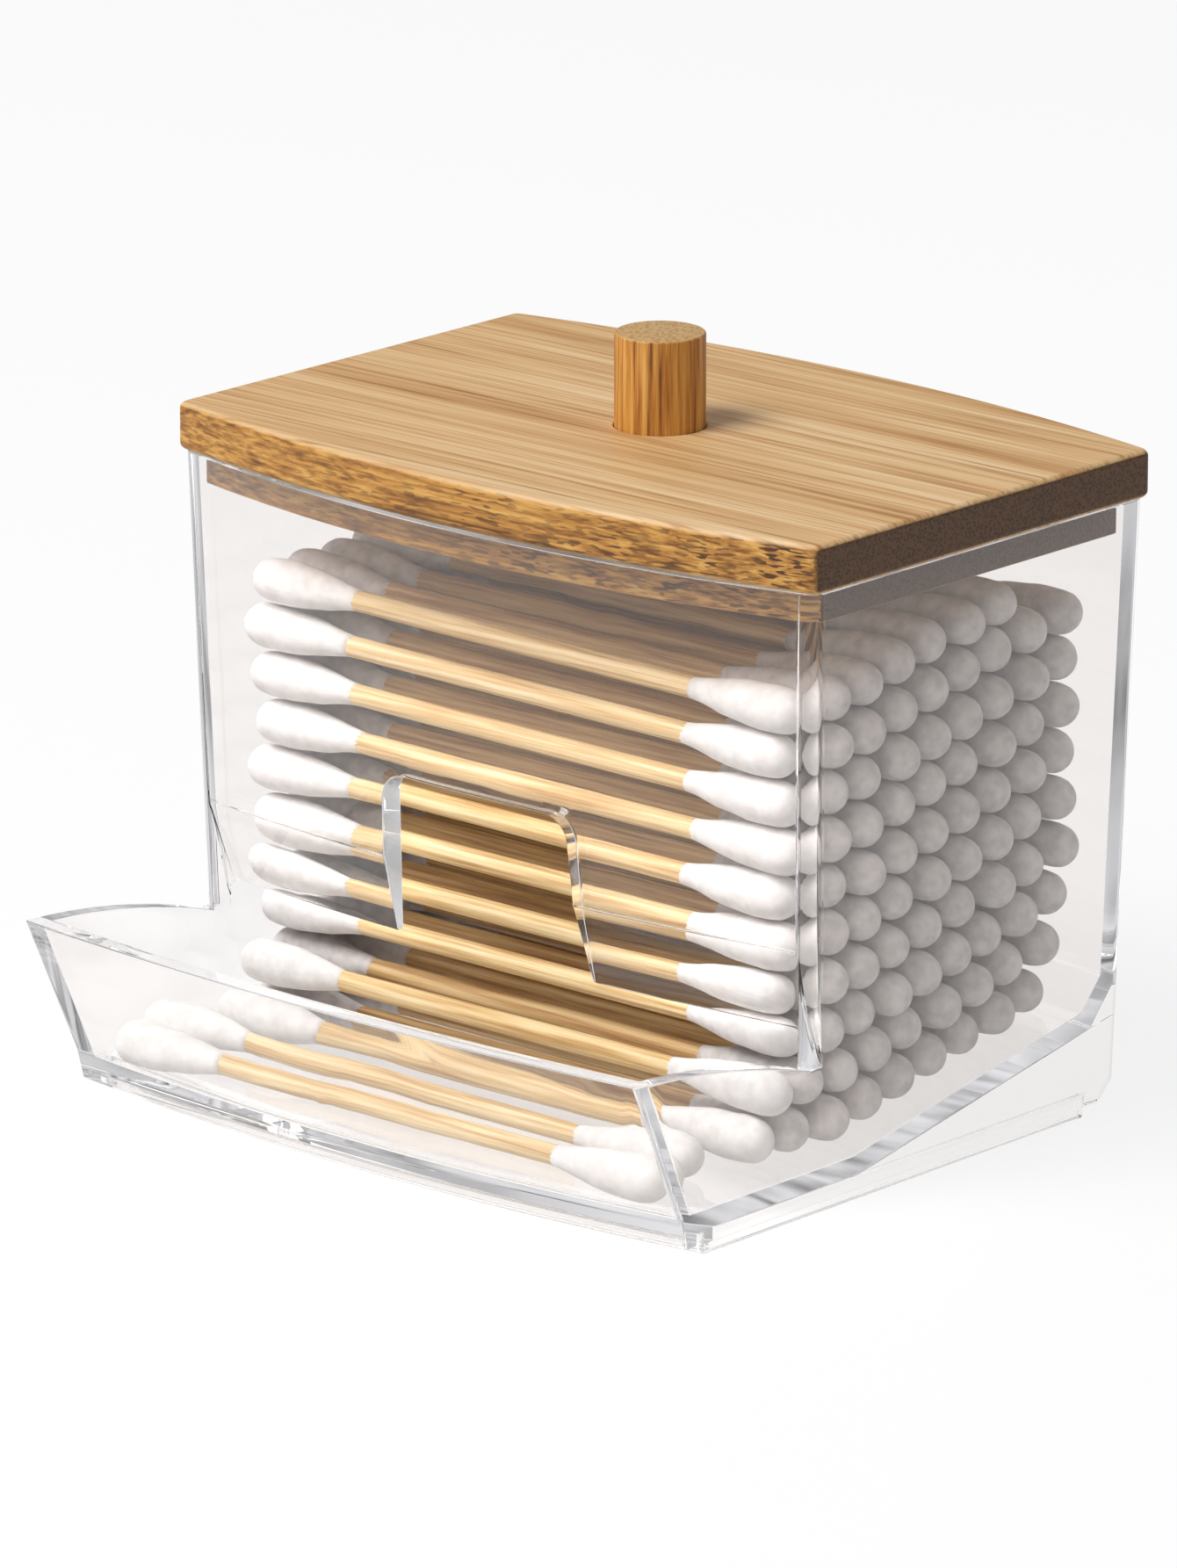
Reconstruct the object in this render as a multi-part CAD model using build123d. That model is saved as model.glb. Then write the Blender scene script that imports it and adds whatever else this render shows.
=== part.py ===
from build123d import *
import itertools
import math
import os

# A clear moulded swab dispenser with a lift-off bamboo lid, filled with double-ended swabs.
# Millimetres. +X runs along the long front, -Y is the tray side and +Z is up.
# Sizes are measured from the middle of the bin; the finished pieces are then moved so that
# the origin is the centre of the bounding box on the surface that the dispenser stands on.

# Bin: outside sizes at the rim, where the long walls bow outwards between straight corners
rim_height = 66.5
rim_depth = 52.0
rim_bow = 5.8
base_bow = 1.8
wall_draft = 1.3
side_wall = 1.9
long_wall = 2.8
swab_end_room = 4.6
corner_radius = 2.0

# Floor: flat under the tray, then a chute that rises to the back wall
floor_height = 4.8
floor_thickness = 2.2
chute_angle = 10.7
chute_start = 17.0
heel_chamfer = 3.0

# Tray: corner places ahead of the bin's middle, for the plinth, the crease and the rim
tray_rim_reach = 51.5
tray_rim_height = 20.7
tray_rim_bow = 2.5
plinth_crease_reach = 44.5
plinth_crease_height = 5.1
plinth_bow = 3.2
plinth_base_reach = 43.2
tray_wall = 2.4
cheek_low_height = 16.2
cheek_bulge = 0.95

# Front wall over the tray: the outside leans back to a thin lip, with a finger notch
lean_height = 28.5
lip_height = 19.6
lip_thickness = 0.8
opening_corner_radius = 2.5
notch_height = 37.8
notch_top_width = 25.4
notch_side_draft = 3.0
notch_corner_radius = 3.0

# Base: the walls stop short of the table and a narrow foot rim carries the housing
wall_base_height = 1.6
foot_side_inset = 1.0
foot_front_reach = 39.8
foot_front_bow = 3.4
foot_back_reach = 20.2
foot_thickness = 1.6
skirt_corner = 2.0

# Lid: a bamboo slab with a shallow plug below and a dowel knob set in a blind hole
lid_overhang = 0.4
lid_bow = 5.0
lid_thickness = 5.2
lid_corner_radius = 1.2
lid_edge_chamfer = 0.5
plug_depth = 3.6
plug_clearance = 0.5
knob_diameter = 9.6
knob_height = 10.0
knob_socket_depth = 3.0
knob_glue_gap = 0.05
knob_edge_chamfer = 0.4

# Swab: a wooden stick with a cotton bud on each end
swab_length = 75.0
stick_diameter = 2.3
bud_length = 13.5
bud_diameter = 4.9
bud_neck_share = 0.56
bud_nose_share = 0.48
bud_belly_share = 0.62
bud_sides = 6
stick_sides = 4

# Pile: upright columns of swabs that spread forwards down the chute
column_count = 9
column_pitch = 5.2
row_pitch = 5.05
back_column_reach = 20.7
chute_column_pitch = 5.35
chute_column_reach = 16.3
settle_height = 27.0
pile_headroom = 5.3
swab_clearance = 0.15
rest_gap = 0.1
end_scatter = 1.0
pile_end_shift = 0.6
front_tilt_angle = 1.4
level_row_height = 25.0
scatter_step_share = 0.618
settle_passes = 80

# Tray swabs: loose ones side by side behind the tray's front wall, front one first
tray_swab_clearance = 0.8
tray_swab_spacing = 6.9
tray_swab_end_shift_shares = (0.003, -0.032)
tray_swab_turns = (0.8, 0.3)

# Working margin for cutters and for surfaces that are trimmed afterwards
overrun = 4.0

rim_width = swab_length + 2 * (swab_end_room + side_wall)
draft_run = math.tan(math.radians(wall_draft))
chute_rise = math.tan(math.radians(chute_angle))
tray_flare = (tray_rim_reach - plinth_crease_reach) / (tray_rim_height - plinth_crease_height)
lid_base = rim_height
lid_top = lid_base + lid_thickness
pile_top_height = lid_base - plug_depth - pile_headroom


def half_width(height):
    return rim_width / 2 - (rim_height - height) * draft_run


def half_depth(height):
    return rim_depth / 2 - (rim_height - height) * draft_run


def wall_bow(height):
    return base_bow + (rim_bow - base_bow) * height / rim_height


def bow_at(across, half_span, bow):
    # How far a bowed line stands out from its corners, at a distance from the middle
    radius = (half_span**2 + bow**2) / (2 * bow)
    return math.sqrt(radius**2 - across**2) - (radius - bow)


def floor_at(depth):
    # Height of the floor's upper face; depth is negative towards the tray
    return floor_height + max(0, depth + chute_start) * chute_rise


def bowed_edge(corner, half_span, bow, height, outward, reach):
    # An arc across the housing that is carried on past its corners to be trimmed later
    end = corner + outward * bow_at(reach, half_span, bow)
    middle = corner + outward * bow
    return ThreePointArc((-reach, end, height), (0, middle, height), (reach, end, height))


def closed_section(front, back):
    left = Line(front @ 0, back @ 0)
    right = Line(front @ 1, back @ 1)
    return make_face([front, right, back, left])


def bin_section(height, wall_inset):
    # Carried on past the drafted side planes, which trim it
    reach = rim_width / 2 + overrun
    corner = half_depth(height) - wall_inset
    bow = wall_bow(height)
    front = bowed_edge(-corner, half_width(height), bow, height, -1, reach)
    back = bowed_edge(corner, half_width(height), bow, height, 1, reach)
    return closed_section(front, back)


def bin_block(low, high, wall_inset=0):
    # Both sections follow one taper, so a block may start and stop at any height
    return loft([bin_section(low, wall_inset), bin_section(high, wall_inset)], ruled=True)


def rounded_section(height, back_step=0):
    # The bin's outline between its side planes, with rounded corners
    half = half_width(height)
    corner = half_depth(height)
    front = bowed_edge(-corner, half, wall_bow(height), height, -1, half)
    back = bowed_edge(corner - back_step, half, wall_bow(height), height, 1, half)
    return fillet(closed_section(front, back).vertices(), corner_radius)


def bin_outside():
    # The skirts' lower back corners are cut off below the second section
    heights = (wall_base_height, wall_base_height + skirt_corner, rim_height)
    steps = (skirt_corner, 0, 0)
    return loft([rounded_section(*place) for place in zip(heights, steps)], ruled=True)


def tray_section(height, reach_ahead, bow, inset):
    reach = rim_width / 2 + overrun
    front = bowed_edge(inset - reach_ahead, half_width(height), bow, height, -1, reach)
    back = Line((-reach, 0, height), (reach, 0, height))
    return closed_section(front, back)


def tray_block(inset=0):
    # The flare runs on above the tray rim, to be trimmed to the cheek line
    top = tray_rim_height + overrun
    sections = [
        tray_section(0, plinth_base_reach, plinth_bow, inset),
        tray_section(plinth_crease_height, plinth_crease_reach, plinth_bow, inset),
        tray_section(tray_rim_height, tray_rim_reach, tray_rim_bow, inset),
        tray_section(top, tray_rim_reach + tray_flare * overrun, tray_rim_bow, inset),
    ]
    return loft(sections, ruled=True)


def side_slab(inset):
    # Everything between the two drafted side planes, moved inwards by the inset
    low = -overrun
    high = rim_height + overrun
    reach = tray_rim_reach + rim_depth
    corners = [
        (inset - half_width(low), low),
        (half_width(low) - inset, low),
        (half_width(high) - inset, high),
        (inset - half_width(high), high),
    ]
    face = Plane.XZ * make_face(Polyline(*corners, close=True))
    return extrude(face, amount=reach, both=True)


def across(edges):
    # A side view, drawn in depth and height, carried right across the housing
    return extrude(Plane.YZ * make_face(edges), amount=rim_width, both=True)


def above_floor(drop):
    # The space over a surface parallel to the floor, which lies the drop below it
    steep_drop = drop / math.cos(math.radians(chute_angle))
    front = -tray_rim_reach - rim_depth
    back = rim_depth
    top = rim_height + overrun
    bend = -chute_start + (drop - steep_drop) / chute_rise
    points = [
        (front, floor_height - drop),
        (bend, floor_height - drop),
        (back, floor_at(back) - steep_drop),
        (back, top),
        (front, top),
    ]
    return across(Polyline(*points, close=True))


def below_cheeks():
    # The side view of the tray: one easy arc that falls from the rim to the bin's corner
    front = -tray_rim_reach - overrun
    tip = (-tray_rim_reach, tray_rim_height)
    half = half_width(cheek_low_height)
    stand_out = bow_at(half - corner_radius, half, wall_bow(cheek_low_height))
    end = (-half_depth(cheek_low_height) - stand_out, cheek_low_height)
    middle = ((tip[0] + end[0]) / 2, (tip[1] + end[1]) / 2 + cheek_bulge)
    points = [end, (0, cheek_low_height), (0, wall_base_height), (front, wall_base_height)]
    outline = [
        Line((front, tray_rim_height), tip),
        ThreePointArc(tip, middle, end),
        Polyline(*points),
        Line((front, wall_base_height), (front, tray_rim_height)),
    ]
    return across(outline)


def heel_edge(solid):
    # The long edge where the chute meets the back wall
    long_edges = solid.edges().filter_by(lambda edge: edge.bounding_box().size.X > rim_width / 2)
    return long_edges.filter_by(lambda edge: 0 < edge.center().Y and edge.center().Z < rim_height / 2)


def tray_outside():
    return side_slab(0) & (tray_block() & below_cheeks())


def side_walls():
    # Two flat walls that carry the bin, the tray's cheeks and the skirts beside the chute,
    # cut as thick as the corner rounding reaches in
    return (bin_outside() + tray_outside()) - side_slab(corner_radius)


def tub():
    # Front wall, back wall and chute between the side walls, bevelled where the chute
    # turns up into the back wall
    block = bin_block(wall_base_height, rim_height) & above_floor(floor_thickness)
    core = side_slab(corner_radius) & block
    return chamfer(heel_edge(core), heel_chamfer + floor_thickness / 2)


def tray_shell():
    return side_slab(corner_radius) & (tray_block() & below_cheeks())


def bin_cavity():
    cavity = side_slab(side_wall) & (bin_block(0, rim_height + overrun, long_wall) & above_floor(0))
    return chamfer(heel_edge(cavity), heel_chamfer)


def tray_space():
    # The tray's inside as far as the bin's front wall
    inside = side_slab(side_wall) & (tray_block(tray_wall) & above_floor(0))
    return inside - bin_block(-overrun, rim_height + overrun)


def under_front_wall():
    # The gap that the swabs slide through, with rounded upper corners
    low = floor_height - floor_thickness
    corners = [
        (side_wall - half_width(low), low),
        (half_width(low) - side_wall, low),
        (half_width(lip_height) - side_wall, lip_height),
        (side_wall - half_width(lip_height), lip_height),
    ]
    face = make_face(Polyline(*corners, close=True))
    top = face.vertices().sort_by(Axis.Y)[-2:]
    face = Plane.XZ * fillet(top, opening_corner_radius)
    gap = extrude(face, amount=plinth_base_reach - tray_wall)
    return gap & above_floor(0)


def finger_notch():
    run = math.tan(math.radians(notch_side_draft))
    low = lip_height - opening_corner_radius
    top_half = notch_top_width / 2
    low_half = top_half + (notch_height - low) * run
    corners = [(-low_half, low), (low_half, low), (top_half, notch_height), (-top_half, notch_height)]
    face = make_face(Polyline(*corners, close=True))
    top = face.vertices().sort_by(Axis.Y)[-2:]
    face = Plane.XZ * fillet(top, notch_corner_radius)
    return extrude(face, amount=rim_depth / 2 + rim_bow)


def lean_cutter():
    # Planes the outside of the front wall back to its lip, between the side walls
    def section(height, step_back):
        reach = rim_width / 2 + overrun
        corner = half_depth(height) - step_back
        inner = bowed_edge(-corner, half_width(height), wall_bow(height), height, -1, reach)
        outer_y = -corner - rim_bow - overrun
        outer = Line((-reach, outer_y, height), (reach, outer_y, height))
        return closed_section(outer, inner)

    fall = (long_wall - lip_thickness) / (lean_height - lip_height)
    low = lip_height - opening_corner_radius
    wedge = loft([section(low, fall * (lean_height - low)), section(lean_height, 0)], ruled=True)
    return wedge & side_slab(side_wall)


def foot_rim():
    # A narrow rim under both sides and the front, open at the back
    def footprint(inset):
        half = half_width(0) - foot_side_inset - inset
        front = bowed_edge(inset - foot_front_reach, half, foot_front_bow, 0, -1, half)
        back = Line((-half, foot_back_reach, 0), (half, foot_back_reach, 0))
        return closed_section(front, back)

    solid = extrude(footprint(0), amount=floor_height - floor_thickness)
    hollow = extrude(footprint(foot_thickness), amount=floor_height)
    behind = Pos(0, foot_thickness + overrun, 0) * hollow
    return solid - hollow - behind


def room_below_floor():
    # Open from below and behind, between the skirts and the tray's front wall
    reach = rim_width / 2 + overrun
    corner = tray_wall - plinth_base_reach
    front = bowed_edge(corner, half_width(0), plinth_bow, -overrun, -1, reach)
    back = Line((-reach, rim_depth, -overrun), (reach, rim_depth, -overrun))
    room = side_slab(side_wall) & extrude(closed_section(front, back), amount=rim_height / 2)
    return room - above_floor(floor_thickness)


def dispenser_body():
    housing = side_walls() + tub() + tray_shell()
    housing = housing - room_below_floor()
    housing = housing - bin_cavity() - tray_space() - under_front_wall()
    housing = housing - lean_cutter() - finger_notch()
    return housing + foot_rim()


def lid_outline(inset, bow, height):
    half = half_width(rim_height) - inset
    corner = half_depth(rim_height) - inset
    front = bowed_edge(-corner, half, bow, height, -1, half)
    back = bowed_edge(corner, half, bow, height, 1, half)
    return closed_section(front, back)


def lid_panel():
    slab = extrude(lid_outline(-lid_overhang, lid_bow, lid_base), amount=lid_thickness)
    slab = fillet(slab.edges().filter_by(Axis.Z), lid_corner_radius)
    rims = slab.faces().sort_by(Axis.Z)
    slab = chamfer(rims[0].edges() + rims[-1].edges(), lid_edge_chamfer)
    front = plug_edge(-1)
    back = plug_edge(1)
    plug = extrude(closed_section(front, back), amount=plug_depth)
    socket_radius = knob_diameter / 2 + knob_glue_gap
    socket = Pos(0, 0, lid_top - knob_socket_depth) * Cylinder(
        socket_radius, knob_socket_depth + overrun, align=(Align.CENTER, Align.CENTER, Align.MIN)
    )
    return slab + plug - socket


def plug_edge(outward):
    # The plug follows the inside of the walls at its own lowest level
    height = lid_base - plug_depth
    half = half_width(height) - side_wall - plug_clearance
    full_bow = wall_bow(height)
    corner = half_depth(height) - long_wall - plug_clearance + bow_at(half, half_width(height), full_bow)
    bow = full_bow - bow_at(half, half_width(height), full_bow)
    return bowed_edge(outward * corner, half, bow, height, outward, half)


def lid_knob():
    peg = Pos(0, 0, lid_top - knob_socket_depth) * Cylinder(
        knob_diameter / 2, knob_height + knob_socket_depth, align=(Align.CENTER, Align.CENTER, Align.MIN)
    )
    return chamfer(peg.edges().sort_by(Axis.Z)[-1], knob_edge_chamfer)


def stick_solid():
    length = swab_length - 2 * bud_length
    ring = RegularPolygon(stick_diameter / 2, stick_sides)
    return extrude(Plane.YZ * ring, amount=length / 2, both=True)


def ring_corners(place, width):
    # Corners of one ring round the swab's axis, the first level with it
    turns = [2 * math.pi * side / bud_sides for side in range(bud_sides)]
    return [(place, width / 2 * math.cos(turn), width / 2 * math.sin(turn)) for turn in turns]


def bud_solid():
    # Flat-sided bud from its neck on the stick, over the belly, to a blunt nose
    neck = swab_length / 2 - bud_length
    rings = [
        ring_corners(neck, bud_neck_share * bud_diameter),
        ring_corners(neck + bud_belly_share * bud_length, bud_diameter),
        ring_corners(swab_length / 2, bud_nose_share * bud_diameter),
    ]
    outlines = [rings[0], rings[-1]]
    for low, high in itertools.pairwise(rings):
        low_edges = itertools.pairwise([*low, low[0]])
        high_edges = itertools.pairwise([*high, high[0]])
        outlines += [(*one, *reversed(other)) for one, other in zip(low_edges, high_edges)]
    return Solid(Shell([make_face(Polyline(*outline, close=True)) for outline in outlines]))


def scatter(index):
    # An even spread of values between minus one and one
    return 2 * (index * scatter_step_share % 1) - 1


def swab_places():
    # Rough centres, column by column from the back, then pushed apart until none overlap
    places = []
    owners = []
    for column in range(column_count):
        low_depth = chute_column_reach - column * chute_column_pitch
        high_depth = back_column_reach - column * column_pitch
        low = floor_at(low_depth) + bud_diameter / 2 + rest_gap
        rows = int((pile_top_height - low) / row_pitch) + 1
        for row in range(rows):
            height = low + row * row_pitch
            share = max(0, (settle_height - height) / (settle_height - low))
            places.append([high_depth + (low_depth - high_depth) * share, height])
            owners.append(column)
    settle(places)
    return list(zip(owners, places))


def settle(places):
    spacing = bud_diameter + swab_clearance
    for _ in range(settle_passes):
        for one, other in itertools.combinations(places, 2):
            along = other[0] - one[0]
            up = other[1] - one[1]
            distance = math.hypot(along, up)
            if 0 < distance < spacing:
                push = (spacing - distance) / distance / 2
                one[0] -= along * push
                one[1] -= up * push
                other[0] += along * push
                other[1] += up * push
        for place in places:
            keep_inside(place)


def keep_inside(place):
    clear = bud_diameter / 2 + rest_gap
    depth, height = place
    bud_place = (swab_length - bud_length) / 2
    wall_height = max(height, lip_height)
    stand_out = bow_at(bud_place, half_width(wall_height), wall_bow(wall_height))
    wall = half_depth(wall_height) - long_wall + stand_out - clear
    depth = min(depth, wall)
    if height > lip_height - clear:
        depth = max(depth, -wall)
    slope = math.cos(math.radians(chute_angle)) if depth > -chute_start else 1
    place[0] = depth
    place[1] = max(height, floor_at(depth) + clear / slope)


def place_swab(index, column, depth, height):
    # The front columns lean a little, most at the top, and all are shifted endways
    nearness = max(0, column - column_count / 2) / (column_count / 2)
    rise = (height - level_row_height) / (pile_top_height - level_row_height)
    tilt = front_tilt_angle * nearness * rise
    shift = pile_end_shift + end_scatter * scatter(index)
    return Pos(shift, depth, height) * Rot(0, tilt, 0)


def swab_nodes():
    stick = stick_solid()
    bud = bud_solid()
    far_bud = Rot(0, 0, 180) * bud
    columns = {}
    for index, (column, (depth, height)) in enumerate(swab_places()):
        location = place_swab(index, column, depth, height)
        sticks, buds = columns.setdefault(column, ([], []))
        sticks.append(location * stick)
        buds.extend([location * bud, location * far_bud])
    nodes = {}
    for column, (sticks, buds) in columns.items():
        nodes[f"swab_column_{column + 1:02d}_sticks"] = Compound(children=sticks)
        nodes[f"swab_column_{column + 1:02d}_buds"] = Compound(children=buds)
    return nodes


def tray_swab_depths(height):
    # From a bud that lies against the tray's flared front wall back to the foot of the pile
    bud_place = (swab_length - bud_length) / 2
    stand_out = bow_at(bud_place, half_width(height), plinth_bow)
    wall = plinth_crease_reach + (height - plinth_crease_height) * tray_flare - tray_wall + stand_out
    first = bud_diameter / 2 * math.hypot(1, tray_flare) + tray_swab_clearance - wall
    pile_foot = chute_column_reach - (column_count - 1) * chute_column_pitch - bud_diameter / 2
    room = pile_foot - tray_swab_clearance - bud_diameter / 2 - first
    return [first + row * tray_swab_spacing for row in range(int(room / tray_swab_spacing) + 1)]


def tray_nodes():
    stick = stick_solid()
    bud = bud_solid()
    far_bud = Rot(0, 0, 180) * bud
    sticks = []
    buds = []
    height = floor_height + bud_diameter / 2 + rest_gap
    rows = zip(tray_swab_depths(height), tray_swab_end_shift_shares, tray_swab_turns)
    for depth, shift_share, turn in rows:
        location = Pos(shift_share * rim_width, depth, height) * Rot(0, 0, turn)
        sticks.append(location * stick)
        buds.extend([location * bud, location * far_bud])
    return {"tray_swab_sticks": Compound(children=sticks), "tray_swab_buds": Compound(children=buds)}


def frame_shift():
    # From the middle of the bin to the middle of the whole housing, front to back
    front = tray_rim_reach + tray_rim_bow
    back = rim_depth / 2 + rim_bow
    return (front - back) / 2


nodes = {
    "dispenser_body": dispenser_body(),
    "lid_panel": lid_panel(),
    "lid_knob": lid_knob(),
    **swab_nodes(),
    **tray_nodes(),
}

os.makedirs("parts", exist_ok=True)
for name, shape in nodes.items():
    export_step(Pos(0, frame_shift(), 0) * shape, f"parts/{name}.step")
    print(name, round(shape.volume, 1))
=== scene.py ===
import math

import bmesh
import bpy
import numpy as np
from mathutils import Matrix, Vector, noise


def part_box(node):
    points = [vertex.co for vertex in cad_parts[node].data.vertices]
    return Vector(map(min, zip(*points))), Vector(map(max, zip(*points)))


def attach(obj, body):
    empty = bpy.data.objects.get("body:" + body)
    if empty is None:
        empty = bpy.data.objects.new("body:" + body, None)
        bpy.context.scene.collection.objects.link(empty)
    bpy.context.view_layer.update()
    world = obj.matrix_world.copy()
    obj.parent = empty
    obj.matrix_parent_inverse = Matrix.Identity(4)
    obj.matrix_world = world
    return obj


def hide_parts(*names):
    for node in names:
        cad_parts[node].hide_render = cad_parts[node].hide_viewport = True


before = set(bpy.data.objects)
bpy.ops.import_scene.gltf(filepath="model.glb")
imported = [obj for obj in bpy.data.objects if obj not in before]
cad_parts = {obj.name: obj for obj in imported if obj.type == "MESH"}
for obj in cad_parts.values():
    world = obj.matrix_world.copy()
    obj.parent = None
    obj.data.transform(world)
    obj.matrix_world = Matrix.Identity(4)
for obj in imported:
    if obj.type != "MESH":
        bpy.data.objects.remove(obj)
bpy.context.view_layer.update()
mm = 0.001
white = (1.0, 1.0, 1.0, 1.0)
print("frame loaded:", len(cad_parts), "nodes")


def colourFromHex(hexText):
    # sRGB hex to the linear values that the shaders work in
    parts = [int(hexText[i:i + 2], 16) / 255 for i in (1, 3, 5)]
    linear = [c / 12.92 if c <= 0.04045 else ((c + 0.055) / 1.055) ** 2.4 for c in parts]
    return (*linear, 1.0)


def addNode(tree, kind, inputs=None, **settings):
    # one node, with its settings, and its inputs set or linked
    node = tree.nodes.new(kind)
    for name, value in settings.items():
        setattr(node, name, value)
    for name, value in (inputs or {}).items():
        socket = node.inputs[name]
        if isinstance(value, bpy.types.NodeSocket):
            tree.links.new(value, socket)
        else:
            socket.default_value = value
    return node


def fillRamp(rampNode, stops):
    # stops: (place, hex colour or grey level)
    ramp = rampNode.color_ramp
    while len(ramp.elements) < len(stops):
        ramp.elements.new(0.5)
    for element, (place, tone) in zip(ramp.elements, stops):
        element.position = place
        element.color = colourFromHex(tone) if isinstance(tone, str) else (tone, tone, tone, 1.0)
    return rampNode


def patternScale(*sizes):
    # texture scale along each axis, from the pattern's size there in mm
    return tuple(1 / (size * mm) for size in sizes)


def newMaterial(name):
    material = bpy.data.materials.new(name)
    material.use_nodes = True
    material.node_tree.nodes.clear()
    return material, material.node_tree


def finishMaterial(tree, shader):
    addNode(tree, "ShaderNodeOutputMaterial", {"Surface": shader})


def placeInScene(name, data):
    holder = bpy.data.objects.new(name, data)
    bpy.context.scene.collection.objects.link(holder)
    return holder


meshing = {
    "weld": 0.002,          # mm, corners of a solid that lie nearer than this are one
    "flatWithin": 0.25,     # degrees, facets this close to one plane become one face
    "sharpFrom": 50,        # degrees, edges sharper than this aren't shaded smooth
    "flatWeight": 100,      # how much the large faces lead the normals
}


def pieceFromPoints(name, points, faces):
    mesh = bpy.data.meshes.new(name)
    mesh.from_pydata([tuple(p) for p in points], [], faces)
    mesh.update()
    return placeInScene(name, mesh)


def shadeSmooth(piece, sharpFrom):
    piece.data.shade_smooth()
    piece.data.set_sharp_from_angle(angle=math.radians(sharpFrom))


def dress(piece, material, body, slotName, *nodes):
    piece.data.materials.clear()
    piece.data.materials.append(material)
    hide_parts(*nodes)
    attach(piece, body)


def weldedSolid(nodeName):
    # the CAD node's own surface, with its corners joined
    bm = bmesh.new()
    bm.from_mesh(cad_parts[nodeName].data)
    bmesh.ops.remove_doubles(bm, verts=bm.verts, dist=meshing["weld"] * mm)
    return bm


def roundedCopy(nodeName, pieceName, edges):
    # the solid with its flat faces made whole and its edges rounded
    bm = weldedSolid(nodeName)
    flatWithin = math.radians(meshing["flatWithin"])
    bmesh.ops.dissolve_limit(bm, angle_limit=flatWithin, verts=bm.verts, edges=bm.edges)
    bmesh.ops.recalc_face_normals(bm, faces=bm.faces)
    # U-shaped faces are split, since the bevel would fill them across
    bmesh.ops.connect_verts_concave(bm, faces=[f for f in bm.faces if len(f.verts) > 3])
    roundFrom = math.radians(edges["edgeAngle"])
    sharp = [e for e in bm.edges if len(e.link_faces) == 2 and e.calc_face_angle(0) > roundFrom]
    bmesh.ops.bevel(
        bm, geom=sharp, offset=edges["edgeRound"] * mm, offset_type="OFFSET",
        segments=edges["edgeSteps"], profile=0.5, affect="EDGES", clamp_overlap=False,
        harden_normals=False,
    )
    mesh = bpy.data.meshes.new(pieceName)
    bm.to_mesh(mesh)
    bm.free()
    piece = placeInScene(pieceName, mesh)
    shadeSmooth(piece, meshing["sharpFrom"])
    keepFlatsFlat(piece)
    return piece


def keepFlatsFlat(piece):
    # normals follow the large faces, so that only the rounded edges bend the light
    weighting = piece.modifiers.new("weighting", "WEIGHTED_NORMAL")
    weighting.mode = "FACE_AREA"
    weighting.weight = meshing["flatWeight"]
    weighting.keep_sharp = True
    bpy.context.view_layer.update()
    worked = piece.evaluated_get(bpy.context.evaluated_depsgraph_get())
    shaded = bpy.data.meshes.new_from_object(worked)
    piece.modifiers.clear()
    piece.data = shaded


housing = {
    "edgeRound": 0.2,       # mm, the radius that a polished mould leaves on the edges
    "edgeSteps": 2,
    "edgeAngle": 24,        # degrees, edges sharper than this are rounded
    "tint": "#fdfbfa",
    "shadowTint": "#f4f3f3",    # the colour of light that has crossed a face on its way to a shadow
    "ior": 1.49,
    "roughness": 0.01,
    "pipedFrom": 2.5,       # mirror bounces in a wall, after which the wall glows with painted light that stands in for the room's
    "pipedLight": 0.30,     # how bright that painted glow is
    "pipedTint": "#f1f2f5",
    "pipedStrength": 0.001,     # small, because an exported material keeps this number alone
    "pipedStreaks": (26.0, 2.2, 26.0),      # mm, size of the darker streaks in that painted glow
    "pipedStops": ((0.36, 0.1), (0.46, 0.6), (0.60, 1.0)),      # shares of its brightness
}


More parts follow.
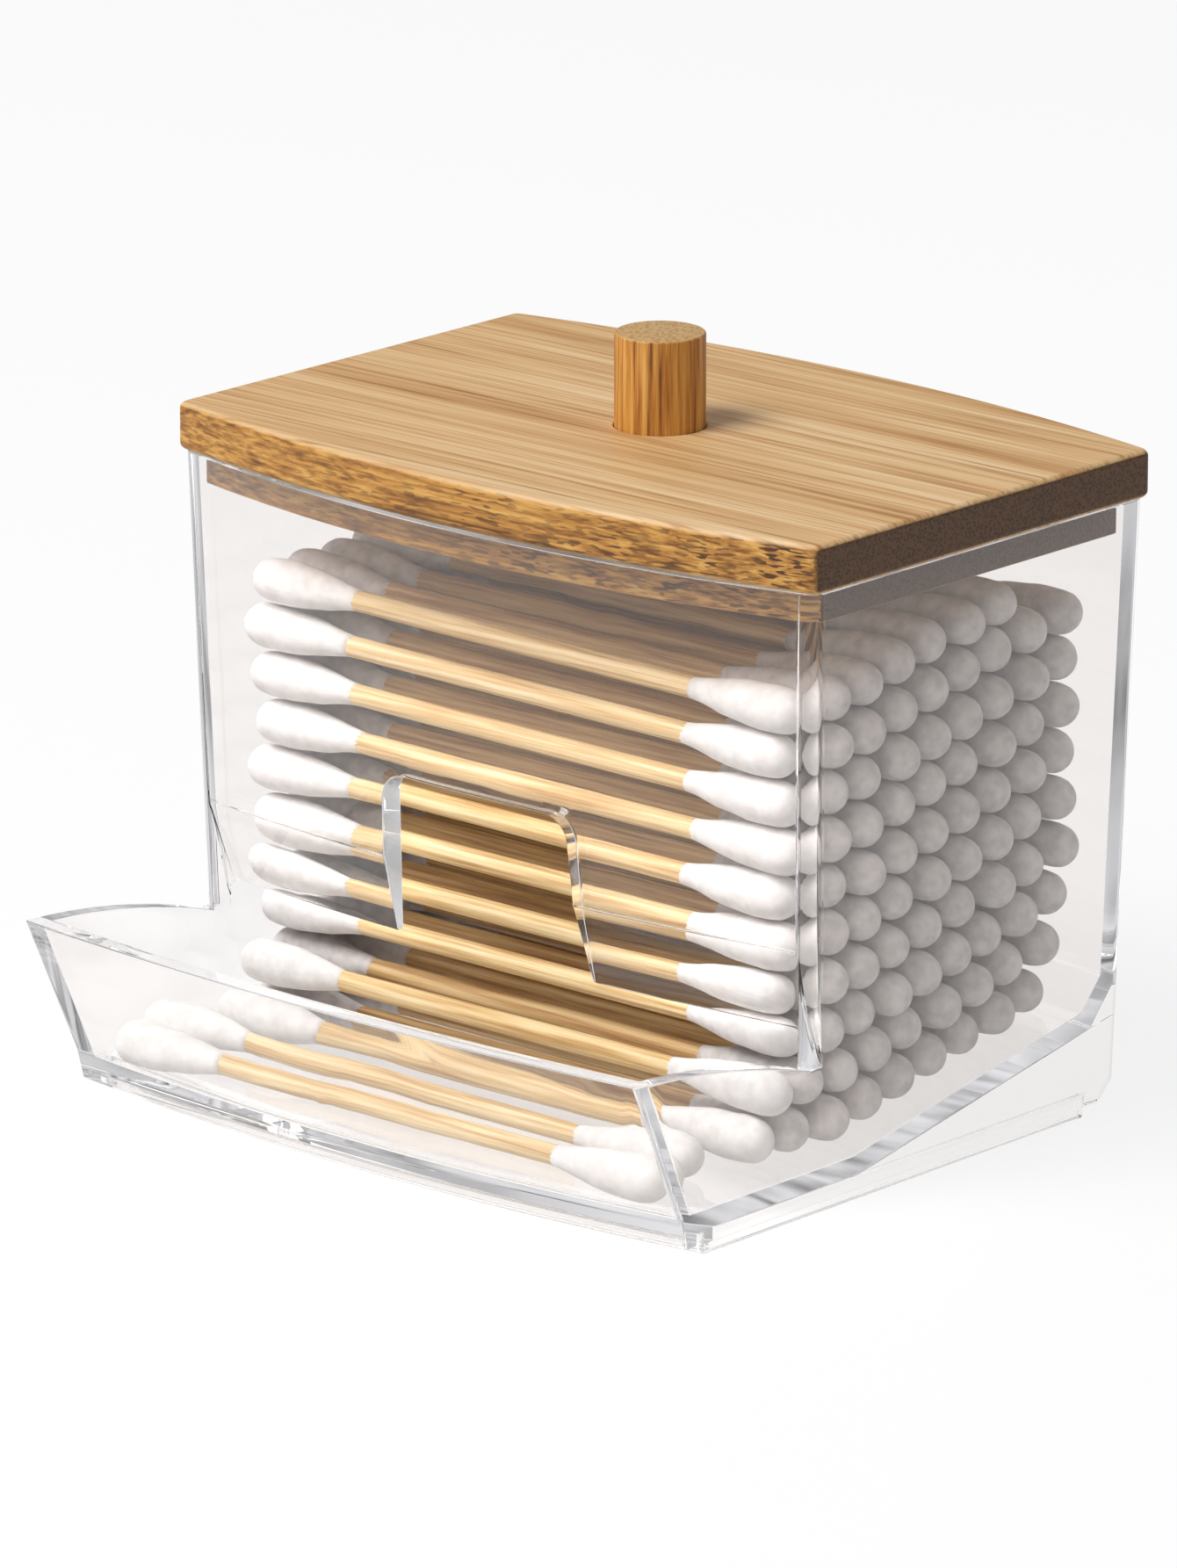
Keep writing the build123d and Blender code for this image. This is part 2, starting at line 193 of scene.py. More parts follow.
def makeClearAcrylic():
    # clear acrylic from a polished mould: nearly colourless; the grey lines at its edges are
    # lightened by a painted glow, in darker streaks, where light has bounced long inside a wall
    material, tree = newMaterial("clearMouldedAcrylic")
    path = addNode(tree, "ShaderNodeLightPath")
    # painted light: beyond a few mirror bounces inside a wall, the wall itself glows
    paintedGlowOn = addNode(tree, "ShaderNodeMath", {
        0: path.outputs["Glossy Depth"], 1: housing["pipedFrom"],
    }, operation="GREATER_THAN")
    where = addNode(tree, "ShaderNodeTexCoord")
    streakStretch = addNode(tree, "ShaderNodeMapping", {
        "Vector": where.outputs["Object"], "Scale": patternScale(*housing["pipedStreaks"]),
    })
    streaks = addNode(tree, "ShaderNodeTexNoise", {
        "Vector": streakStretch.outputs["Vector"], "Scale": 1.0, "Detail": 1.0,
    })
    paintedStreakGlow = fillRamp(
        addNode(tree, "ShaderNodeValToRGB", {"Fac": streaks.outputs["Fac"]}),
        [(place, share * housing["pipedLight"]) for place, share in housing["pipedStops"]],
    )
    pipedLight = addNode(tree, "ShaderNodeMath", {
        0: paintedGlowOn.outputs["Value"], 1: paintedStreakGlow.outputs["Color"],
    }, operation="MULTIPLY")
    tone = [part / housing["pipedStrength"] for part in colourFromHex(housing["pipedTint"])[:3]]
    paintedGlowColour = addNode(tree, "ShaderNodeVectorMath", {
        "Vector": tone, "Scale": pipedLight.outputs["Value"],
    }, operation="SCALE")
    plastic = addNode(tree, "ShaderNodeBsdfPrincipled", {
        "Base Color": colourFromHex(housing["tint"]),
        "Metallic": 0.0,
        "Roughness": housing["roughness"],
        "IOR": housing["ior"],
        "Transmission Weight": 1.0,
        # the painted glow, given as emission in place of the room's light
        "Emission Color": paintedGlowColour.outputs["Vector"],
        "Emission Strength": housing["pipedStrength"],
    })
    letThrough = addNode(tree, "ShaderNodeBsdfTransparent", {
        "Color": colourFromHex(housing["shadowTint"]),
    })
    mixed = addNode(tree, "ShaderNodeMixShader", {
        "Fac": path.outputs["Is Shadow Ray"],
        1: plastic.outputs["BSDF"],
        2: letThrough.outputs["BSDF"],
    })
    finishMaterial(tree, mixed.outputs["Shader"])
    return material


clearAcrylic = makeClearAcrylic()
housingShell = roundedCopy("dispenser_body", "housingShell", housing)
dress(housingShell, clearAcrylic, "housing", "clear_plastic", "dispenser_body")
print("housing:", len(housingShell.data.polygons), "faces")


lid = {
    "edgeRound": 0.22,      # mm, sanded edges
    "edgeSteps": 2,
    "edgeAngle": 30,
    "ior": 1.5,
    "roughness": 0.55,
    "fibres": (34.0, 0.55, 0.55),       # mm, fibre lines along X
    "fibreNoise": {"Scale": 1.0, "Detail": 4.0, "Roughness": 0.6},
    "fibreHeight": 0.05,    # mm
    "fibreRelief": 0.35,
    "bands": (90.0, 5.0, 5.0),          # mm, broad paler and darker bands along X
    "bandNoise": {"Scale": 1.0, "Detail": 2.0},
    "topTones": ((0.30, "#a67a4e"), (0.42, "#cba472"), (0.52, "#dbb98c"), (0.70, "#e8cda4")),
    "bandTones": ((0.30, "#dfcbad"), (0.55, "#f6eee0"), (0.75, "#ffffff")),
    "sideTones": ((0.28, "#5e3a12"), (0.42, "#9e6828"), (0.55, "#c48e40"), (0.72, "#dbae62")),
    "dashes": (1.6, 1.6, 0.29),         # mm, bundle ends that the bowed long edges cut across
    "dashNoise": {"Scale": 1.0, "Detail": 0.5},
    "dashStops": ((0.41, 1.0), (0.48, 0.0)),
    "dashTone": "#4c2b0e",
    "dashFrom": -25,        # mm along X, where the dashes start to grow denser
    "dashFull": 30,
    "dashLeast": 0.35,      # how dense they are before that
    "patchSize": 7,         # mm, patches with fewer dashes
    "patchStops": ((0.36, 0.45), (0.56, 1.0)),
    "poreSize": 0.35,       # mm, cut vessel ends on the end faces
    "endTones": ((0.05, "#1c1007"), (0.30, "#402711"), (0.60, "#5d3d1d")),
    "topStops": ((0.45, 0.0), (0.75, 1.0)),     # how level a face is when it takes the top's tone
    "endStops": ((0.55, 0.0), (0.85, 1.0)),
}


def makeBambooBoard():
    # sanded, oiled bamboo board: pale straw top with fine brown fibre lines, and brown cut edges
    material, tree = newMaterial("oiledBambooBoard")
    where = addNode(tree, "ShaderNodeTexCoord")
    place = where.outputs["Object"]
    stretch = addNode(tree, "ShaderNodeMapping", {
        "Vector": place, "Scale": patternScale(*lid["fibres"]),
    })
    fibres = addNode(tree, "ShaderNodeTexNoise", {
        "Vector": stretch.outputs["Vector"], **lid["fibreNoise"],
    })
    bandStretch = addNode(tree, "ShaderNodeMapping", {
        "Vector": place, "Scale": patternScale(*lid["bands"]),
    })
    bands = addNode(tree, "ShaderNodeTexNoise", {
        "Vector": bandStretch.outputs["Vector"], **lid["bandNoise"],
    })
    topTone = fillRamp(
        addNode(tree, "ShaderNodeValToRGB", {"Fac": fibres.outputs["Fac"]}), lid["topTones"])
    bandTone = fillRamp(
        addNode(tree, "ShaderNodeValToRGB", {"Fac": bands.outputs["Fac"]}), lid["bandTones"])
    top = addNode(tree, "ShaderNodeMix", {
        0: 1.0, 6: topTone.outputs["Color"], 7: bandTone.outputs["Color"],
    }, data_type="RGBA", blend_type="MULTIPLY")
    sideTone = fillRamp(
        addNode(tree, "ShaderNodeValToRGB", {"Fac": fibres.outputs["Fac"]}), lid["sideTones"])

    # cut bundle ends: short dark dashes, most of them towards the right-hand corner
    dashStretch = addNode(tree, "ShaderNodeMapping", {
        "Vector": place, "Scale": patternScale(*lid["dashes"]),
    })
    dashSpread = addNode(tree, "ShaderNodeTexNoise", {
        "Vector": dashStretch.outputs["Vector"], **lid["dashNoise"],
    })
    dash = fillRamp(
        addNode(tree, "ShaderNodeValToRGB", {"Fac": dashSpread.outputs["Fac"]}), lid["dashStops"])
    along = addNode(tree, "ShaderNodeSeparateXYZ", {"Vector": place})
    rightward = addNode(tree, "ShaderNodeMapRange", {
        "Value": along.outputs["X"],
        "From Min": lid["dashFrom"] * mm,
        "From Max": lid["dashFull"] * mm,
        "To Min": lid["dashLeast"],
        "To Max": 1.0,
    })
    patches = addNode(tree, "ShaderNodeTexNoise", {
        "Vector": place, "Scale": patternScale(lid["patchSize"])[0], "Detail": 1.0,
    })
    patchShare = fillRamp(
        addNode(tree, "ShaderNodeValToRGB", {"Fac": patches.outputs["Fac"]}), lid["patchStops"])
    dashShare = addNode(tree, "ShaderNodeMath", {
        0: dash.outputs["Color"], 1: rightward.outputs["Result"],
    }, operation="MULTIPLY")
    patchyShare = addNode(tree, "ShaderNodeMath", {
        0: dashShare.outputs["Value"], 1: patchShare.outputs["Color"],
    }, operation="MULTIPLY")
    side = addNode(tree, "ShaderNodeMix", {
        0: patchyShare.outputs["Value"],
        6: sideTone.outputs["Color"],
        7: colourFromHex(lid["dashTone"]),
    }, data_type="RGBA")

    # the end faces are cut across the grain
    pores = addNode(tree, "ShaderNodeTexVoronoi", {
        "Vector": place, "Scale": patternScale(lid["poreSize"])[0],
    })
    endTone = fillRamp(
        addNode(tree, "ShaderNodeValToRGB", {"Fac": pores.outputs["Distance"]}), lid["endTones"])

    # which way a face points decides between top, side and end
    facing = addNode(tree, "ShaderNodeNewGeometry")
    direction = addNode(tree, "ShaderNodeSeparateXYZ", {"Vector": facing.outputs["Normal"]})
    upness = addNode(tree, "ShaderNodeMath", {0: direction.outputs["Z"]}, operation="ABSOLUTE")
    endness = addNode(tree, "ShaderNodeMath", {0: direction.outputs["X"]}, operation="ABSOLUTE")
    isTop = fillRamp(
        addNode(tree, "ShaderNodeValToRGB", {"Fac": upness.outputs["Value"]}), lid["topStops"])
    isEnd = fillRamp(
        addNode(tree, "ShaderNodeValToRGB", {"Fac": endness.outputs["Value"]}), lid["endStops"])
    sideOrEnd = addNode(tree, "ShaderNodeMix", {
        0: isEnd.outputs["Color"], 6: side.outputs[2], 7: endTone.outputs["Color"],
    }, data_type="RGBA")
    colour = addNode(tree, "ShaderNodeMix", {
        0: isTop.outputs["Color"], 6: sideOrEnd.outputs[2], 7: top.outputs[2],
    }, data_type="RGBA")
    relief = addNode(tree, "ShaderNodeBump", {
        "Height": fibres.outputs["Fac"],
        "Strength": lid["fibreRelief"],
        "Distance": lid["fibreHeight"] * mm,
    })
    board = addNode(tree, "ShaderNodeBsdfPrincipled", {
        "Base Color": colour.outputs[2],
        "Roughness": lid["roughness"],
        "IOR": lid["ior"],
        "Normal": relief.outputs["Normal"],
    })
    finishMaterial(tree, board.outputs["BSDF"])
    return material


bambooBoard = makeBambooBoard()
lidPanel = roundedCopy("lid_panel", "lidPanel", lid)
dress(lidPanel, bambooBoard, "lid", "bamboo_board", "lid_panel")
print("lid:", len(lidPanel.data.polygons), "faces")


knob = {
    "edgeRound": 0.3,       # mm, eased top edge
    "easingStep": 15,       # degrees between the rings of that edge
    "poleRadius": 0.02,     # mm, of the small face in the middle of each end
    "sides": 96,
    "sharpFrom": 40,        # degrees
    "ior": 1.5,
    "roughness": 0.5,
    "fibres": (0.45, 0.45, 14.0),       # mm, striations up the side
    "fibreNoise": {"Scale": 1.0, "Detail": 3.0, "Roughness": 0.6},
    "fibreHeight": 0.05,    # mm
    "fibreRelief": 0.4,
    "sideTones": ((0.30, "#744419"), (0.44, "#b8782f"), (0.56, "#d29643"), (0.72, "#e2af60")),
    "poreSize": 0.5,        # mm, cut vessel ends on the top
    "topTones": ((0.08, "#84602f"), (0.32, "#ae8650"), (0.60, "#c29d66")),
    "topStops": ((0.55, 0.0), (0.85, 1.0)),     # how level a face is when it takes the top's tone
}


def latheAbout(name, centre, profile, sides):
    # profile: (radius, height) from the bottom middle to the top middle
    turns = [2 * math.pi * side / sides for side in range(sides)]
    points = [
        (centre[0] + radius * math.cos(turn), centre[1] + radius * math.sin(turn), height)
        for radius, height in profile for turn in turns
    ]
    faces = []
    for ring in range(len(profile) - 1):
        for side in range(sides):
            after = (side + 1) % sides
            low, high = ring * sides, (ring + 1) * sides
            faces.append((low + side, low + after, high + after, high + side))
    faces.append(tuple(reversed(range(sides))))
    faces.append(tuple((len(profile) - 1) * sides + side for side in range(sides)))
    return pieceFromPoints(name, points, faces)


def makeBambooDowel():
    # turned bamboo dowel: golden, with straight dark striations up its side
    material, tree = newMaterial("turnedBambooDowel")
    where = addNode(tree, "ShaderNodeTexCoord")
    place = where.outputs["Object"]
    stretch = addNode(tree, "ShaderNodeMapping", {
        "Vector": place, "Scale": patternScale(*knob["fibres"]),
    })
    fibres = addNode(tree, "ShaderNodeTexNoise", {
        "Vector": stretch.outputs["Vector"], **knob["fibreNoise"],
    })
    sideTone = fillRamp(
        addNode(tree, "ShaderNodeValToRGB", {"Fac": fibres.outputs["Fac"]}), knob["sideTones"])
    pores = addNode(tree, "ShaderNodeTexVoronoi", {
        "Vector": place, "Scale": patternScale(knob["poreSize"])[0],
    })
    topTone = fillRamp(
        addNode(tree, "ShaderNodeValToRGB", {"Fac": pores.outputs["Distance"]}), knob["topTones"])
    facing = addNode(tree, "ShaderNodeNewGeometry")
    direction = addNode(tree, "ShaderNodeSeparateXYZ", {"Vector": facing.outputs["Normal"]})
    isTop = fillRamp(
        addNode(tree, "ShaderNodeValToRGB", {"Fac": direction.outputs["Z"]}), knob["topStops"])
    colour = addNode(tree, "ShaderNodeMix", {
        0: isTop.outputs["Color"], 6: sideTone.outputs["Color"], 7: topTone.outputs["Color"],
    }, data_type="RGBA")
    relief = addNode(tree, "ShaderNodeBump", {
        "Height": fibres.outputs["Fac"],
        "Strength": knob["fibreRelief"],
        "Distance": knob["fibreHeight"] * mm,
    })
    dowel = addNode(tree, "ShaderNodeBsdfPrincipled", {
        "Base Color": colour.outputs[2],
        "Roughness": knob["roughness"],
        "IOR": knob["ior"],
        "Normal": relief.outputs["Normal"],
    })
    finishMaterial(tree, dowel.outputs["BSDF"])
    return material


bambooDowel = makeBambooDowel()
knobLow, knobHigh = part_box("lid_knob")
knobCentre = (knobLow + knobHigh) / 2
knobRadius = (knobHigh.x - knobLow.x) / 2
easing = [
    (knobRadius - knob["edgeRound"] * mm * (1 - math.cos(math.radians(a))),
     knobHigh.z - knob["edgeRound"] * mm * (1 - math.sin(math.radians(a))))
    for a in range(0, 91, knob["easingStep"])
]
pole = knob["poleRadius"] * mm
knobProfile = [(pole, knobLow.z), (knobRadius, knobLow.z), *easing, (pole, knobHigh.z)]
lidKnob = latheAbout("lidKnob", knobCentre, knobProfile, knob["sides"])
shadeSmooth(lidKnob, knob["sharpFrom"])
dress(lidKnob, bambooDowel, "lid", "bamboo_dowel", "lid_knob")
print("knob made")


swab = {
    "seed": 7,
    "length": 75.0,         # mm
    "stickDiameter": 2.3,
    "stickShort": 0.55,     # share of a bud's length that lies beyond the stick's end
    "stickSides": 14,
    "stickRings": 5,
    "budLength": 14.6,
    "budDiameter": 5.0,
    "budSides": 28,
    "budRings": 22,
    "noseCrowding": 1.35,   # above 1 puts more rings near the nose, where the curve is tight
    "girths": (0.96, 1.0),
    "pressedShare": 0.99,   # buds inside the pile are pressed this much thinner
    "endScatterShare": 0.55,    # how much of the solids' endways scatter stays
    "looseNodes": ("swab_column_09_sticks", "tray_swab_sticks"),
    "windings": 3.0,        # turns of cotton round each bud
    "windingDepth": 0.012,  # share of the radius
    "lumps": 0.03,          # share of the radius
    "lumpMiddle": 0.35,     # noise level that leaves the radius as it is
    "lumpDensity": 1.1,
    "lumpsAlong": 4,        # how much denser they are along a bud than round it
    "lumpDrift": 40,        # how far apart the buds lie in the noise, so that no two match
    "noseFade": 4,          # how fast the lumps and windings fade towards the nose
    "noseRest": 0.25,       # the share of them that is left there
    # share of the length from the neck, share of the full radius
    "budProfile": [
        (0.0, 0.465), (0.06, 0.50), (0.16, 0.60), (0.30, 0.77), (0.44, 0.89), (0.58, 0.97),
        (0.70, 1.0), (0.83, 0.985), (0.90, 0.90), (0.94, 0.76), (0.97, 0.565), (0.988, 0.36),
        (0.997, 0.18), (1.0, 0.05),
    ],
    "looseTones": ((0.30, "#ddd9d6"), (0.50, "#e6e2e0"), (0.70, "#eeebe9")),
    # painted shade: greyer tones for the buds inside the pile, standing for the shade between them
    "packedTones": ((0.30, "#c1bbb9"), (0.50, "#d1cbc9"), (0.70, "#ddd8d6")),
    "looseStickTones": (
        (0.30, "#bf935c"), (0.45, "#d9b67f"), (0.58, "#e8ce9d"), (0.75, "#f1deb8")),
    # painted shade: browner tones for the sticks inside the pile, standing for the shade the pile
    # casts
    "packedStickTones": (
        (0.30, "#9e7242"), (0.45, "#bd9563"), (0.58, "#d1b07b"), (0.75, "#dec293")),
}


def looseParts(nodeName):
    # the separate solids of a node, each as an array of its corner points, lowest first
    bm = weldedSolid(nodeName)
    unseen = set(bm.verts)
    parts = []
    while unseen:
        stack = [unseen.pop()]
        found = []
        while stack:
            vertex = stack.pop()
            found.append(tuple(vertex.co))
            for edge in vertex.link_edges:
                other = edge.other_vert(vertex)
                if other in unseen:
                    unseen.remove(other)
                    stack.append(other)
        parts.append(np.array(found))
    bm.free()
    return sorted(parts, key=lambda part: part[:, 2].mean())


def swabLines(nodeName):
    # middle and direction of each stick
    lines = []
    for part in looseParts(nodeName):
        middle = part.mean(axis=0)
        left = part[part[:, 0] < middle[0]].mean(axis=0)
        right = part[part[:, 0] > middle[0]].mean(axis=0)
        lines.append((Vector((left + right) / 2), (Vector(right) - Vector(left)).normalized()))
    if nodeName in swab["looseNodes"]:
        return lines
    evenPlace = sum(middle.x for middle, direction in lines) / len(lines)
    return [
        (middle + direction * (evenPlace - middle.x) * (1 - swab["endScatterShare"]), direction)
        for middle, direction in lines
    ]


def budRings():
    # (share of the length, share of the radius) of each ring, from neck to nose
    shares = [share for share, width in swab["budProfile"]]
    widths = [width for share, width in swab["budProfile"]]
    places = 1 - (1 - np.linspace(0, 1, swab["budRings"])) ** swab["noseCrowding"]
    return [(place, float(np.interp(place, shares, widths))) for place in places]


def addRings(points, faces, rings, sides):
    # a closed body through rings of points
    start = len(points)
    for ring in rings:
        points.extend(ring)
    for low in range(start, start + (len(rings) - 1) * sides, sides):
        for s in range(sides):
            after = (s + 1) % sides
            faces.append((low + s, low + after, low + sides + after, low + sides + s))
    faces.append(tuple(start + s for s in reversed(range(sides))))
    faces.append(tuple(start + (len(rings) - 1) * sides + s for s in range(sides)))


def swabBasis(direction):
    side = direction.cross(Vector((0, 0, 1))).normalized()
    return side, direction.cross(side).normalized()


def makeSticks(name, lines):
    points, faces = [], []
    half = (swab["length"] / 2 - swab["budLength"] * swab["stickShort"]) * mm
    radius = swab["stickDiameter"] / 2 * mm
    sides = swab["stickSides"]
    turns = [2 * math.pi * k / sides for k in range(sides)]
    for middle, direction in lines:
        side, up = swabBasis(direction)
        rings = []
        for step in range(swab["stickRings"]):
            along = middle + direction * half * (2 * step / (swab["stickRings"] - 1) - 1)
            rings.append([
                along + (side * math.cos(turn) + up * math.sin(turn)) * radius for turn in turns
            ])
        addRings(points, faces, rings, sides)
    piece = pieceFromPoints(name, points, faces)
    shadeSmooth(piece, meshing["sharpFrom"])
    return piece


def makeBuds(name, lines, rng, fatness):
    points, faces = [], []
    radius = swab["budDiameter"] / 2 * mm
    sides = swab["budSides"]
    drift = swab["lumpDrift"]
    for middle, direction in lines:
        for end in (-1, 1):
            outward = direction * end
            side, up = swabBasis(outward)
            neck = middle + outward * (swab["length"] / 2 - swab["budLength"]) * mm
            phase = rng.uniform(0, 2 * math.pi)
            girth = fatness * rng.uniform(*swab["girths"])
            noisePlace = Vector(rng.uniform(-drift, drift, 3))
            rings = []
            for share, width in budRings():
                along = neck + outward * share * swab["budLength"] * mm
                roughly = min(1, swab["noseFade"] * (1 - share) + swab["noseRest"])
                winding = phase + 2 * math.pi * swab["windings"] * share
                ring = []
                for k in range(sides):
                    turn = 2 * math.pi * k / sides
                    wound = swab["windingDepth"] * math.sin(turn + winding)
                    sample = Vector((math.cos(turn), math.sin(turn), share * swab["lumpsAlong"]))
                    level = noise.noise(sample * swab["lumpDensity"] + noisePlace)
                    lump = swab["lumps"] * (level - swab["lumpMiddle"])
                    reach = radius * width * girth * (1 + (wound + lump) * roughly)
                    ring.append(along + (side * math.cos(turn) + up * math.sin(turn)) * reach)
                rings.append(ring)
            addRings(points, faces, rings, sides)
    piece = pieceFromPoints(name, points, faces)
    piece.data.shade_smooth()
    return piece


cotton = {
    "fibres": (0.9, 0.22, 0.22),        # mm, drawn coarser than real ones so that they show
    "fibreNoise": {"Scale": 1.0, "Detail": 5.0, "Roughness": 0.65},
    "clumpSize": 1.6,       # mm
    "clumpDetail": 2.0,
    "relief": 0.3,
    "reliefHeight": 0.15,   # mm
    "ior": 1.46,
    "roughness": 0.95,
    "sheen": 0.06,
    "sheenRoughness": 0.5,
    "scatter": 0.06,
    "scatterReach": (1.0, 0.95, 0.9),
    "scatterDepth": 0.6,    # mm
}


def makeCotton(name, tones):
    # wound cotton: soft matt white with fine fibres; the copy for the swabs packed in the pile is
    # greyer, as painted shade between them
    material, tree = newMaterial(name)
    where = addNode(tree, "ShaderNodeTexCoord")
    fibreStretch = addNode(tree, "ShaderNodeMapping", {
        "Vector": where.outputs["Object"], "Scale": patternScale(*cotton["fibres"]),
    })
    fibres = addNode(tree, "ShaderNodeTexNoise", {
        "Vector": fibreStretch.outputs["Vector"], **cotton["fibreNoise"],
    })
    clumps = addNode(tree, "ShaderNodeTexNoise", {
        "Vector": where.outputs["Object"],
        "Scale": patternScale(cotton["clumpSize"])[0],
        "Detail": cotton["clumpDetail"],
    })
    tone = fillRamp(addNode(tree, "ShaderNodeValToRGB", {"Fac": clumps.outputs["Fac"]}), tones)
    height = addNode(tree, "ShaderNodeMath", {
        0: fibres.outputs["Fac"], 1: clumps.outputs["Fac"],
    }, operation="ADD")
    relief = addNode(tree, "ShaderNodeBump", {
        "Height": height.outputs["Value"],
        "Strength": cotton["relief"],
        "Distance": cotton["reliefHeight"] * mm,
    })
    surface = addNode(tree, "ShaderNodeBsdfPrincipled", {
        "Base Color": tone.outputs["Color"],
        "Roughness": cotton["roughness"],
        "IOR": cotton["ior"],
        "Sheen Weight": cotton["sheen"],
        "Sheen Roughness": cotton["sheenRoughness"],
        "Subsurface Weight": cotton["scatter"],
        "Subsurface Radius": cotton["scatterReach"],
        "Subsurface Scale": cotton["scatterDepth"] * mm,
        "Normal": relief.outputs["Normal"],
    })
    finishMaterial(tree, surface.outputs["BSDF"])
    return material


stick = {
    "streaks": (18, 0.45, 0.45),        # mm
    "streakNoise": {"Scale": 1.0, "Detail": 3.0, "Roughness": 0.55},
    "relief": 0.25,
    "reliefHeight": 0.03,   # mm
    "ior": 1.5,
    "roughness": 0.5,
}


def makeSwabStick(name, tones):
    # smooth bamboo stick: cream yellow with faint long streaks; the copy for the pile is browner,
    # as painted shade from the pile
    material, tree = newMaterial(name)
    where = addNode(tree, "ShaderNodeTexCoord")
    stretch = addNode(tree, "ShaderNodeMapping", {
        "Vector": where.outputs["Object"], "Scale": patternScale(*stick["streaks"]),
    })
    streaks = addNode(tree, "ShaderNodeTexNoise", {
        "Vector": stretch.outputs["Vector"], **stick["streakNoise"],
    })
    tone = fillRamp(addNode(tree, "ShaderNodeValToRGB", {"Fac": streaks.outputs["Fac"]}), tones)
    relief = addNode(tree, "ShaderNodeBump", {
        "Height": streaks.outputs["Fac"],
        "Strength": stick["relief"],
        "Distance": stick["reliefHeight"] * mm,
    })
    surface = addNode(tree, "ShaderNodeBsdfPrincipled", {
        "Base Color": tone.outputs["Color"],
        "Roughness": stick["roughness"],
        "IOR": stick["ior"],
        "Normal": relief.outputs["Normal"],
    })
    finishMaterial(tree, surface.outputs["BSDF"])
    return material


looseCotton = makeCotton("woundCotton", swab["looseTones"])
# darker copies of the cotton and stick materials paint the shade inside the pile
paintedShadeCotton = makeCotton("packedWoundCotton", swab["packedTones"])
looseStick = makeSwabStick("polishedBambooStick", swab["looseStickTones"])
paintedShadeStick = makeSwabStick("packedBambooStick", swab["packedStickTones"])
rng = np.random.default_rng(swab["seed"])
stickNodes = sorted(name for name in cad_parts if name.endswith("_sticks"))
for stickNode in stickNodes:
    group = stickNode.replace("_sticks", "")
    label = group.replace("swab_column_", "swabColumn").replace("tray_swab", "traySwab")
    lines = swabLines(stickNode)
    pressed = stickNode not in swab["looseNodes"]
    sticks = makeSticks(label + "Sticks", lines)
    buds = makeBuds(label + "Buds", lines, rng, swab["pressedShare"] if pressed else 1.0)
    # swabs inside the pile take the painted-shade copies
    dress(sticks, paintedShadeStick if pressed else looseStick, "housing", "swab_stick", stickNode)
    dress(buds, paintedShadeCotton if pressed else looseCotton, "housing", "cotton", group + "_buds")
print("swabs:", len(stickNodes), "groups")


studio = {
    "floorTone": "#f7f7f7",
    "floorHalf": 4.0,       # m
    "floorGlow": 0.84,      # how much of the floor's white doesn't depend on the lamps
    "mirrorShare": 0.2,     # how bright mirror rays see the backdrop
    "worldStrength": 0.32,
    "lampAim": (0, 0, 0.04),
    "lamps": {
        "keyLamp": {"place": (-0.24, -0.62, 0.98), "size": 0.6, "watts": 12.6},
        "fillLamp": {"place": (0.9, -0.6, 0.7), "size": 0.8, "watts": 0.2},
    },
    "cameraPlace": (0.72731, -0.80978, 0.35340),
    "cameraAzimuth": 41.93,     # degrees
    "cameraElevation": 16.30,
    "lens": 249.65,         # mm
    "sensorWidth": 36.0,
}


def whiteForSight(tree):
    # camera and glass rays see the plain backdrop, and mirror rays see it dimmed
    path = addNode(tree, "ShaderNodeLightPath")
    mirrored = addNode(tree, "ShaderNodeMath", {
        0: path.outputs["Is Glossy Ray"], 1: studio["mirrorShare"],
    }, operation="MULTIPLY")
    seen = addNode(tree, "ShaderNodeMath", {
        0: path.outputs["Is Camera Ray"], 1: mirrored.outputs["Value"],
    }, operation="MAXIMUM")
    return addNode(tree, "ShaderNodeMath", {
        0: seen.outputs["Value"], 1: path.outputs["Is Transmission Ray"],
    }, operation="MAXIMUM")


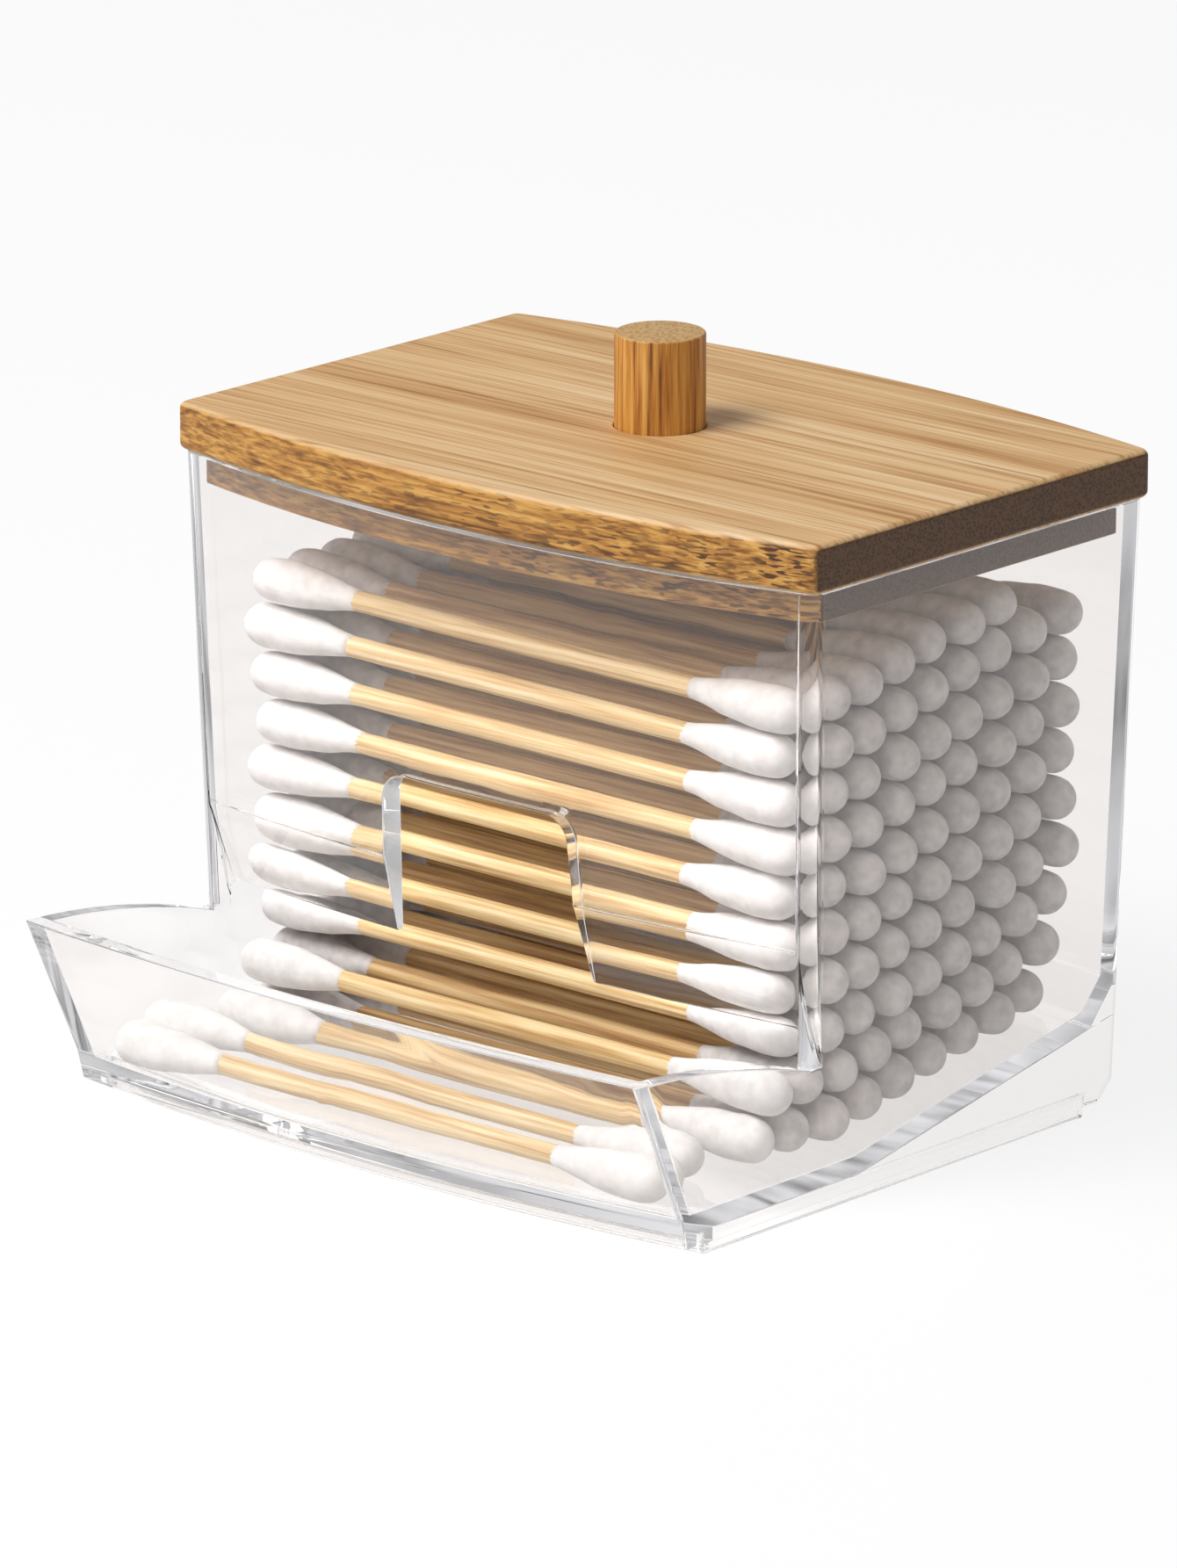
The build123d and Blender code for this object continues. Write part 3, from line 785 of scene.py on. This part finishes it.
def makeFloor():
    # smooth white paper sweep, which keeps the object's soft shadow
    material, tree = newMaterial("whitePaperSweep")
    paper = addNode(tree, "ShaderNodeBsdfDiffuse", {"Color": colourFromHex(studio["floorTone"])})
    glow = addNode(tree, "ShaderNodeEmission", {"Color": white, "Strength": 1.0})
    seen = whiteForSight(tree)
    share = addNode(tree, "ShaderNodeMath", {
        0: seen.outputs["Value"], 1: studio["floorGlow"],
    }, operation="MULTIPLY")
    mixed = addNode(tree, "ShaderNodeMixShader", {
        "Fac": share.outputs["Value"], 1: paper.outputs["BSDF"], 2: glow.outputs["Emission"],
    })
    finishMaterial(tree, mixed.outputs["Shader"])
    half = studio["floorHalf"]
    corners = [(-half, -half, 0), (half, -half, 0), (half, half, 0), (-half, half, 0)]
    floor = pieceFromPoints("floor", corners, [(0, 1, 2, 3)])
    floor.data.materials.append(material)


def makeWorld():
    world = bpy.data.worlds.new("studioWorld")
    bpy.context.scene.world = world
    world.use_nodes = True
    tree = world.node_tree
    tree.nodes.clear()
    lighting = addNode(tree, "ShaderNodeBackground", {
        "Color": white, "Strength": studio["worldStrength"],
    })
    backdrop = addNode(tree, "ShaderNodeBackground", {"Color": white, "Strength": 1.0})
    seen = whiteForSight(tree)
    mixed = addNode(tree, "ShaderNodeMixShader", {
        "Fac": seen.outputs["Value"],
        1: lighting.outputs["Background"],
        2: backdrop.outputs["Background"],
    })
    addNode(tree, "ShaderNodeOutputWorld", {"Surface": mixed.outputs["Shader"]})


def addSoftLamp(name, place, size, watts):
    lamp = bpy.data.lights.new(name, "AREA")
    lamp.shape = "SQUARE"
    lamp.size = size
    lamp.energy = watts
    holder = placeInScene(name, lamp)
    holder.location = place
    aim = Vector(studio["lampAim"]) - Vector(place)
    holder.rotation_euler = aim.to_track_quat("-Z", "Y").to_euler()


def addCamera():
    data = bpy.data.cameras.new("camera")
    data.lens = studio["lens"]
    data.sensor_width = studio["sensorWidth"]
    holder = placeInScene("camera", data)
    holder.location = studio["cameraPlace"]
    tilt = math.radians(90 - studio["cameraElevation"])
    holder.rotation_euler = (tilt, 0, math.radians(studio["cameraAzimuth"]))
    bpy.context.scene.camera = holder


makeFloor()
makeWorld()
for lampName, lamp in studio["lamps"].items():
    addSoftLamp(lampName, **lamp)
addCamera()
bpy.context.scene.view_settings.view_transform = "Standard"
print("studio ready")
